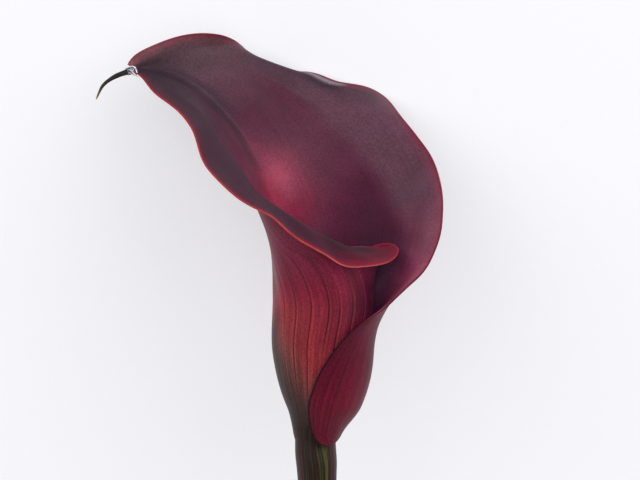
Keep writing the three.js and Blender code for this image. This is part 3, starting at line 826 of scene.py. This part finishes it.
# %% Its line, its girth and the foot of the sheath
STALK_LINE = [(-120, -0.6, -33.86), (-80, 0.6, -16.4), (-40, 0.3, -5.3), (-10, -0.65, -0.6),
              (0, -0.95, 0), (4, -1.1, 0.1)]
STALK_GIRTH = [(-120, 5.2), (-60, 4.75), (-25, 4.6), (-10, 4.85), (-5, 5.15), (-0.45, 5.35)]
STALK_FOOT, STALK_TOP, STALK_INSIDE = -120.0, 0.0, 1.6
SHOULDER = -0.45                # mm: the line and the girth are followed up to here
FOOT_CENTRE = -1.5              # mm: the foot of the sheath stands that far to the left
CUT_SLANT = 0.22                # rise of the cut per millimetre across it
FLAP_STEP = 5.3                 # mm: no swelling under the flap's foot
FOOT_HALF = 0.06                # mm: half the sheath's thickness at its foot, and a little
stalk_line = spline([s[0] for s in STALK_LINE], [s[1:] for s in STALK_LINE])
stalk_girth = spline([s[0] for s in STALK_GIRTH], [s[1:] for s in STALK_GIRTH])
foot = sheet[0]
foot_turn = np.unwrap(np.arctan2(foot[:, 0] - tube_centre(foot[:, 1]), foot[:, 2]))
foot_reach = np.hypot(foot[:, 0] - tube_centre(foot[:, 1]), foot[:, 2])
print("foot of the sheath:", foot_reach.min().round(2), "to", foot_reach.max().round(2), "mm from its centre")


def stalk_height(along):
    """The rings crowd towards the join."""
    return STALK_FOOT + (STALK_TOP - STALK_FOOT + STALK_INSIDE) * (1 - (1 - along) ** 1.8)


def stalk_point(turn, along):
    angle = 2 * math.pi * turn
    y = stalk_height(along)
    below = min(y, SHOULDER)
    centre, _, side, front = line_frame(stalk_line, below)
    lobes = 1 + 0.012 * math.sin(3 * angle + 1) + 0.006 * math.sin(7 * angle)
    girth = float(stalk_girth(below)[0, 0]) * lobes
    point = centre + (side * math.sin(angle) + front * math.cos(angle)) * girth
    point[1] += y - below
    if y < STALK_FOOT + 12:
        point[1] += CUT_SLANT * (point[0] - centre[0]) * float(1 - ease(y, STALK_FOOT, STALK_FOOT + 12))
    join = float(ease(y, -7.0, -0.2))
    if join > 0:
        at = angle if angle <= foot_turn[0] else angle - 2 * math.pi
        reach = min(float(np.interp(-at, -foot_turn, foot_reach)), FLAP_STEP)
        reach += FOOT_HALF - 0.30 * float(ease(y, 0.1, 0.8)) + 0.2 * max(y, 0)
        point[1] += join * max(float(np.interp(-at, -foot_turn, foot[:, 1])), 0.0)
        foot_point = np.array([FOOT_CENTRE + reach * math.sin(angle), point[1], reach * math.cos(angle)])
        point = point + join * (foot_point - point)
    return point


def stalk_skin(turn, along):
    angle = 2 * math.pi * turn
    y = stalk_height(along)
    return ((STALK_SKIN_RADIUS * math.sin(angle)) * MM, y * MM, (STALK_SKIN_RADIUS * math.cos(angle)) * MM)


# %% Skin and cut face
# a stalk's skin is waxy and tight: streaked, with a low gloss, and its cells are again drawn coarse
stalk_material, tree, surface, coords = new_material("stalk_skin")
colour, thin_streak = stalk_streaks(tree)
grain = add(tree, "TexNoise", {"Scale": 1600.0, "Detail": 2.0}, {"Vector": coords["Object"]})
rough = add(tree, "MapRange", {"To Min": 0.34, "To Max": 0.52}, {"Value": grain})
streak_bump = add(tree, "Bump", {"Strength": 0.3, "Distance": 0.12 * MM}, {"Height": thin_streak})
plug(surface, {"IOR": 1.42, "Specular IOR Level": 0.22, "Subsurface Weight": 0.12,
               "Subsurface Scale": 0.8 * MM},
     {"Base Color": varied(tree, colour, (grain, 0.88, 1.12)), "Roughness": rough, "Normal": streak_bump})

# pith is wet and spongy, so light goes far into it and its face shines a little
# the cut face: pale pith with bundles of vessels about 1 mm apart
pith, tree, surface, coords = new_material("stalk_pith")
bundle_place = add(tree, "Mapping", {"Scale": (900.0, 40.0, 900.0)}, {"Vector": coords["Object"]})
bundles = add(tree, "TexVoronoi", {"Scale": 1.0}, {"Vector": bundle_place})
pith_colour = add(tree, "ValToRGB", {"ramp": {0.16: "#6d6a3c", 0.30: "#b9b98a", 0.8: "#c9c89c"}},
                  {"Fac": bundles})
plug(surface, {"Roughness": 0.35, "Subsurface Weight": 0.3, "Subsurface Scale": 1.5 * MM},
     {"Base Color": pith_colour})
print("stalk materials:", stalk_material.name, pith.name)

# %% Making the stalk
bm = rolled("stalk", 48, 150, stalk_point, stalk_skin)
for face in bm.faces:
    if len(face.verts) > 5 and face.calc_center_median().y < 0:
        face.material_index = 1
cut = [f for f in bm.faces if f.material_index == 1]
rounded = bmesh.ops.inset_region(bm, faces=cut, thickness=0.45 * MM, depth=0.0)["faces"]
for face in rounded:
    face.material_index = 0
bmesh.ops.inset_region(bm, faces=cut, thickness=0.3 * MM, depth=0.12 * MM)
stalk = finish_piece(bm, "stalk", "scape", stalk_material, pith)
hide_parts("scape")

# %% [markdown]
# ## The dry tail
#
# The spathe's tip dries first: it shrivels into a dark, horny tail that curls down, and the
# skin round its root tears into a whitish papery sleeve. The tail is a rolled tube whose
# radius is fluted, more so towards its end, as drying tissue is. The sleeve is a short rolled
# tube left open, with its edge torn into points. A few torn strands bridge it and the sheet:
# each is a narrow grid bent along a spline, because a curve object would need a mesh anyway.

# %% Tail
TAIL = [(-46.2, 93.1, -21.3, 0.85), (-48, 93.5, -20.5, 1.0), (-49.6, 93.05, -20.2, 0.82),
        (-51.7, 92.25, -20, 0.64), (-53.6, 91.2, -19.5, 0.56), (-55.3, 89.75, -18.8, 0.44),
        (-56.3, 88, -17.8, 0.34), (-57.15, 85.8, -16.5, 0.2)]
tail_curve = spline(range(len(TAIL)), TAIL)


def tail_frame(share):
    k = share * (len(TAIL) - 1)
    here, after = tail_curve(k)[0], tail_curve(k + 0.01)[0]
    along = (after - here)[:3]
    along /= np.linalg.norm(along)
    side = np.cross(along, [0.0, 0.0, 1.0])
    side /= np.linalg.norm(side)
    return here[:3], along, side, np.cross(side, along), float(here[3])


def tail_point(turn, along):
    centre, _, side, front, radius = tail_frame(along)
    angle = 2 * math.pi * turn
    flutes = 1 - (0.04 + 0.10 * along) * (1 + math.sin(5 * angle + 6 * along)) / 2
    flutes *= 1 - 0.05 * math.sin(23 * along + 2 * angle)
    tip = math.sqrt(max(1 - max(along - 0.93, 0) ** 2 / 0.07**2, 0.02))
    return centre + (side * math.cos(angle) + front * math.sin(angle)) * radius * flutes * tip


# dried to horn: dark, half glossy and paler at the point, with fibres drawn 0.3 mm wide to show
horn, tree, surface, coords = new_material("dried_tip")
place = add(tree, "Mapping", {"Scale": (14.0, 2.5, 1.0)}, {"Vector": coords["UV"]})
fibres = add(tree, "TexNoise", {"Scale": 1.0, "Detail": 4.0}, {"Vector": place})
length = add(tree, "SeparateXYZ", {}, {0: coords["UV"]})
body = add(tree, "ValToRGB", {"ramp": {0.0: "#2e1c1d", 0.45: "#211415", 0.84: "#2c1b15", 0.94: "#6b5233",
                                       1.0: "#9c8358"}}, {"Fac": length.outputs["Y"]})
bump = add(tree, "Bump", {"Strength": 0.5, "Distance": 0.1 * MM}, {"Height": fibres})
plug(surface, {"Roughness": 0.5, "Specular IOR Level": 0.3},
     {"Base Color": varied(tree, body, (fibres, 0.7, 1.35)), "Normal": bump})
finish_piece(rolled("dry_tail", 24, 90, tail_point), "dry_tail", "spathe", horn)

# %% Papery sleeve
SLEEVE_FROM, SLEEVE_TO = 0.27, 0.04     # shares of the tail's length
TEAR_DEPTH = 0.35                       # the deepest tear, as a share of the sleeve
tears = rng.uniform(0.0, 1.0, 14)


def sleeve_point(turn, along):
    angle = 2 * math.pi * turn
    tear = TEAR_DEPTH * float(np.interp(turn * 13.999, range(15), list(tears) + [tears[0]]))
    share = SLEEVE_FROM + (SLEEVE_TO - SLEEVE_FROM) * along * (1 - tear)
    centre, _, side, front, radius = tail_frame(share)
    out = radius * (1.03 + 0.10 * along**1.6 + 0.03 * math.sin(9 * angle + 5 * along))
    return centre + (side * math.cos(angle) + front * math.sin(angle)) * out


# dried to paper: matt and whitish, with brown gaps between its fibres
paper, tree, surface, coords = new_material("papery_skin")
place = add(tree, "Mapping", {"Scale": (16.0, 1.6, 1.0)}, {"Vector": coords["UV"]})
fibres = add(tree, "TexNoise", {"Scale": 1.0, "Detail": 4.0, "Roughness": 0.65}, {"Vector": place})
paper_colour = add(tree, "ValToRGB", {"ramp": {0.42: "#2b2023", 0.54: "#6c676d", 0.64: "#c3c9d2"}},
                   {"Fac": fibres})
bump = add(tree, "Bump", {"Strength": 0.6, "Distance": 0.1 * MM}, {"Height": fibres})
plug(surface, {"Roughness": 0.7}, {"Base Color": paper_colour, "Normal": bump})
bm = rolled("papery_sleeve", 42, 16, sleeve_point, capped=False)
sleeve = finish_piece(bm, "papery_sleeve", "spathe", paper)
give_wall(sleeve, 0.08, 1.0)

# %% Torn strands
# Each strand: its width, then the points that it runs through, from the tail back to the sheet.
STRANDS = [
    (0.36, [(-50.2, 93.8, -19.3), (-49.15, 94.2, -19.1), (-48.25, 94.45, -19.1), (-47.55, 94.3, -19.0),
            (-47.1, 93.7, -18.8), (-46.85, 92.9, -18.3), (-46.55, 92.0, -17.4), (-46.2, 91.3, -16.8)]),
    (0.20, [(-49.4, 93.75, -19.2), (-48.6, 93.5, -19.0), (-47.85, 92.75, -18.7), (-46.95, 92.0, -17.9)]),
    (0.18, [(-48.6, 94.15, -19.0), (-48.1, 93.4, -18.9), (-47.5, 92.6, -18.5), (-46.6, 91.85, -17.5)]),
    (0.25, [(-49.1, 93.0, -19.2), (-48.1, 92.4, -19.1), (-47.1, 92.0, -18.4), (-46.1, 91.3, -17.2)]),
    (0.14, [(-47.9, 94.0, -19.0), (-47.7, 93.25, -18.8), (-47.2, 92.4, -18.3)]),
]


def make_strand(bm, width, points):
    """A narrow ribbon that tapers to both ends and arches a little across."""
    line = spline(shares_along(points), points)
    part = bmesh.ops.create_grid(bm, x_segments=2, y_segments=24, size=1.0)["verts"]
    for v in part:
        across, along = v.co.x, (v.co.y + 1) / 2
        here, after = line(along)[0], line(along + 0.01)[0]
        side = np.cross(after - here, [0.0, 0.0, 1.0])
        side /= np.linalg.norm(side)
        half = width / 2 * (0.25 + 0.75 * math.sin(math.pi * along))
        v.co = to_row(here + side * across * half + [0.0, 0.0, 0.05 * (1 - across**2)])


# bare fibres of the same paper scatter all the light: matt and almost white
strand_skin, tree, surface, coords = new_material("torn_papery_strand")
flecks = add(tree, "TexNoise", {"Scale": 2600.0, "Detail": 3.0}, {"Vector": coords["Object"]})
strand_colour = add(tree, "ValToRGB", {"ramp": {0.34: "#9ea2aa", 0.5: "#d4dae2", 0.65: "#f0f3f7"}},
                    {"Fac": flecks})
plug(surface, {"Roughness": 0.6}, {"Base Color": strand_colour})
bm = bmesh.new()
for width, points in STRANDS:
    make_strand(bm, width, points)
bmesh.ops.recalc_face_normals(bm, faces=bm.faces)
strands = finish_piece(bm, "torn_strands", "spathe", strand_skin)
give_wall(strands, 0.07, -1.0)

# %% [markdown]
# ## The spadix
#
# The real flowers of a calla are tiny and crowd the spadix inside: below, a short zone of
# green ovaries with a pale stigma each, and above, a long golden zone of anthers. Each kind is
# one small shape set on a spiral that turns by the golden angle, which is how the plant packs
# them. A displacement texture would be lighter, but it would show no separate florets.

# %% Core and spiral
SPADIX_LINE = [(2.5, -1.3, 0.1), (10, -0.6, 0), (24, 0.6, -0.6), (43.5, 1.2, -1.6)]
SPADIX_GIRTH = [(2.5, 2.9), (5, 3.2), (13, 3.25), (25, 3.1), (36, 2.75), (40, 2.3), (42.4, 1.5), (43.5, 0.7)]
spadix_line = spline([s[0] for s in SPADIX_LINE], [s[1:] for s in SPADIX_LINE])
spadix_girth = spline([s[0] for s in SPADIX_GIRTH], [s[1:] for s in SPADIX_GIRTH])
GOLDEN_ANGLE = math.pi * (3 - math.sqrt(5))


def spadix_core(low, high, sunk):
    """A core for the florets of one zone, that much thinner than the zone."""
    def point(turn, along):
        y = low + (high - low) * along
        centre, _, side, front = line_frame(spadix_line, y)
        girth = max(float(spadix_girth(y)[0, 0]) - sunk, 0.3)
        return centre + (side * math.cos(2 * math.pi * turn) + front * math.sin(2 * math.pi * turn)) * girth
    return rolled("core", 24, 40, point)


def spiral(low, high, spacing):
    """Places of florets that far apart: the point, the way out and the way up."""
    y, n, places = low, 0, []
    while y < high:
        girth = float(spadix_girth(y)[0, 0])
        centre, along, side, front = line_frame(spadix_line, y)
        angle = n * GOLDEN_ANGLE
        out = side * math.cos(angle) + front * math.sin(angle)
        places.append((centre + out * girth, out, along))
        y += 0.87 * spacing**2 / (2 * math.pi * girth)
        n += 1
    return places


def standing(point, out, along, *sizes):
    """The matrix that stands a unit shape on the spadix: its Z points out, its Y points up."""
    out, along = Vector(out).normalized(), Vector(along)
    side = along.cross(out).normalized()
    turn = Matrix((side, out.cross(side), out)).transposed().to_4x4()
    return Matrix.Translation(to_row(point)) @ turn @ Matrix.Diagonal([s * MM for s in sizes] + [1.0])


def scatter(bm, places, make):
    """Makes a floret at each place. A small mesh at a time is filled and joined on, which is
    many times quicker than adding to one that keeps growing."""
    for start in range(0, len(places), 24):
        few = bmesh.new()
        for place in places[start:start + 24]:
            make(few, *place)
        holder = bpy.data.meshes.new("few")
        few.to_mesh(holder)
        few.free()
        bm.from_mesh(holder)
        bpy.data.meshes.remove(holder)
    for face in bm.faces:
        face.smooth = True


print("golden angle:", round(math.degrees(GOLDEN_ANGLE), 1), "degrees")

# %% Ovaries
OVARY_SPACING, ANTHER_SPACING = 1.55, 0.86
bm = spadix_core(2.3, 13.35, 0.75)
ovaries = spiral(2.9, 12.9, OVARY_SPACING)


def make_ovary(few, point, out, along):
    size = rng.uniform(0.92, 1.05)
    bmesh.ops.create_icosphere(few, subdivisions=2, radius=1.0,
                               matrix=standing(point - 0.62 * out, out, along, 0.74 * size, 0.70 * size, 0.66))
    stigma = bmesh.ops.create_icosphere(few, subdivisions=1, radius=1.0,
                                        matrix=standing(point - 0.02 * out, out, along, 0.24, 0.24, 0.16))
    for face in {f for v in stigma["verts"] for f in v.link_faces}:
        face.material_index = 1


scatter(bm, ovaries, make_ovary)

# an ovary is a small green berry: smooth, juicy, and light goes a little way in
ovary_skin, tree, surface, coords = new_material("ovary_skin")
blotch = add(tree, "TexNoise", {"Scale": 900.0, "Detail": 3.0}, {"Vector": coords["Object"]})
colour = add(tree, "ValToRGB", {"ramp": {0.35: "#6f7340", 0.65: "#a8a468"}}, {"Fac": blotch})
plug(surface, {"Roughness": 0.4, "Subsurface Weight": 0.3, "Subsurface Scale": 1.0 * MM},
     {"Base Color": colour})
# a stigma is downy: cream and matt
stigma_skin, tree, surface, coords = new_material("stigma")
blotch = add(tree, "TexNoise", {"Scale": 2500.0, "Detail": 2.0}, {"Vector": coords["Object"]})
colour = add(tree, "ValToRGB", {"ramp": {0.35: "#c9bb80", 0.65: "#e6dcae"}}, {"Fac": blotch})
plug(surface, {"Roughness": 0.7}, {"Base Color": colour})
ovary_zone = finish_piece(bm, "ovary_zone", "spadix_green", ovary_skin, stigma_skin)
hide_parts("spadix_pistillate")
print(len(ovaries), "ovaries")

# %% Anthers
bm = spadix_core(13.6, 43.4, 0.5)
anthers = spiral(13.95, 43.1, ANTHER_SPACING)


def make_anther(few, point, out, along):
    size = rng.uniform(0.9, 1.08)
    lean = rng.normal(0.0, 0.12, 3)
    place = standing(point - 0.22 * out, out + lean, along, 0.43 * size, 0.40 * size, 0.38)
    anther = bmesh.ops.create_icosphere(few, subdivisions=2, radius=1.0, matrix=place)
    # an anther has two halves: the vertices on its middle line sink
    middle = Vector(to_row(point - 0.22 * out))
    side = Vector(np.cross(along, out)).normalized()
    for v in anther["verts"]:
        away = (v.co - middle).dot(side) / (0.43 * MM)
        high = (v.co - middle).dot(Vector(out)) / (0.38 * MM)
        v.co -= Vector(out) * 0.16 * MM * max(high, 0) * math.exp(-(away / 0.3) ** 2)


scatter(bm, anthers, make_anther)

# pollen is a dry dust that takes away all gloss: its grains are 0.03 mm, drawn as clumps of 0.3 mm
pollen, tree, surface, coords = new_material("pollen_covered_anther")
dust = add(tree, "TexNoise", {"Scale": 3000.0, "Detail": 3.0}, {"Vector": coords["Object"]})
patch = add(tree, "TexNoise", {"Scale": 350.0, "Detail": 2.0}, {"Vector": coords["Object"]})
golden = add(tree, "ValToRGB", {"ramp": {0.35: "#b97a1a", 0.55: "#dca235", 0.7: "#efc763"}}, {"Fac": dust})
bump = add(tree, "Bump", {"Strength": 0.5, "Distance": 0.05 * MM}, {"Height": dust})
plug(surface, {"Roughness": 0.85}, {"Base Color": varied(tree, golden, (patch, 0.8, 1.1)), "Normal": bump})
anther_zone = finish_piece(bm, "anther_zone", "spadix_yellow", pollen)
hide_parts("spadix_staminate")
print(len(anthers), "anthers")
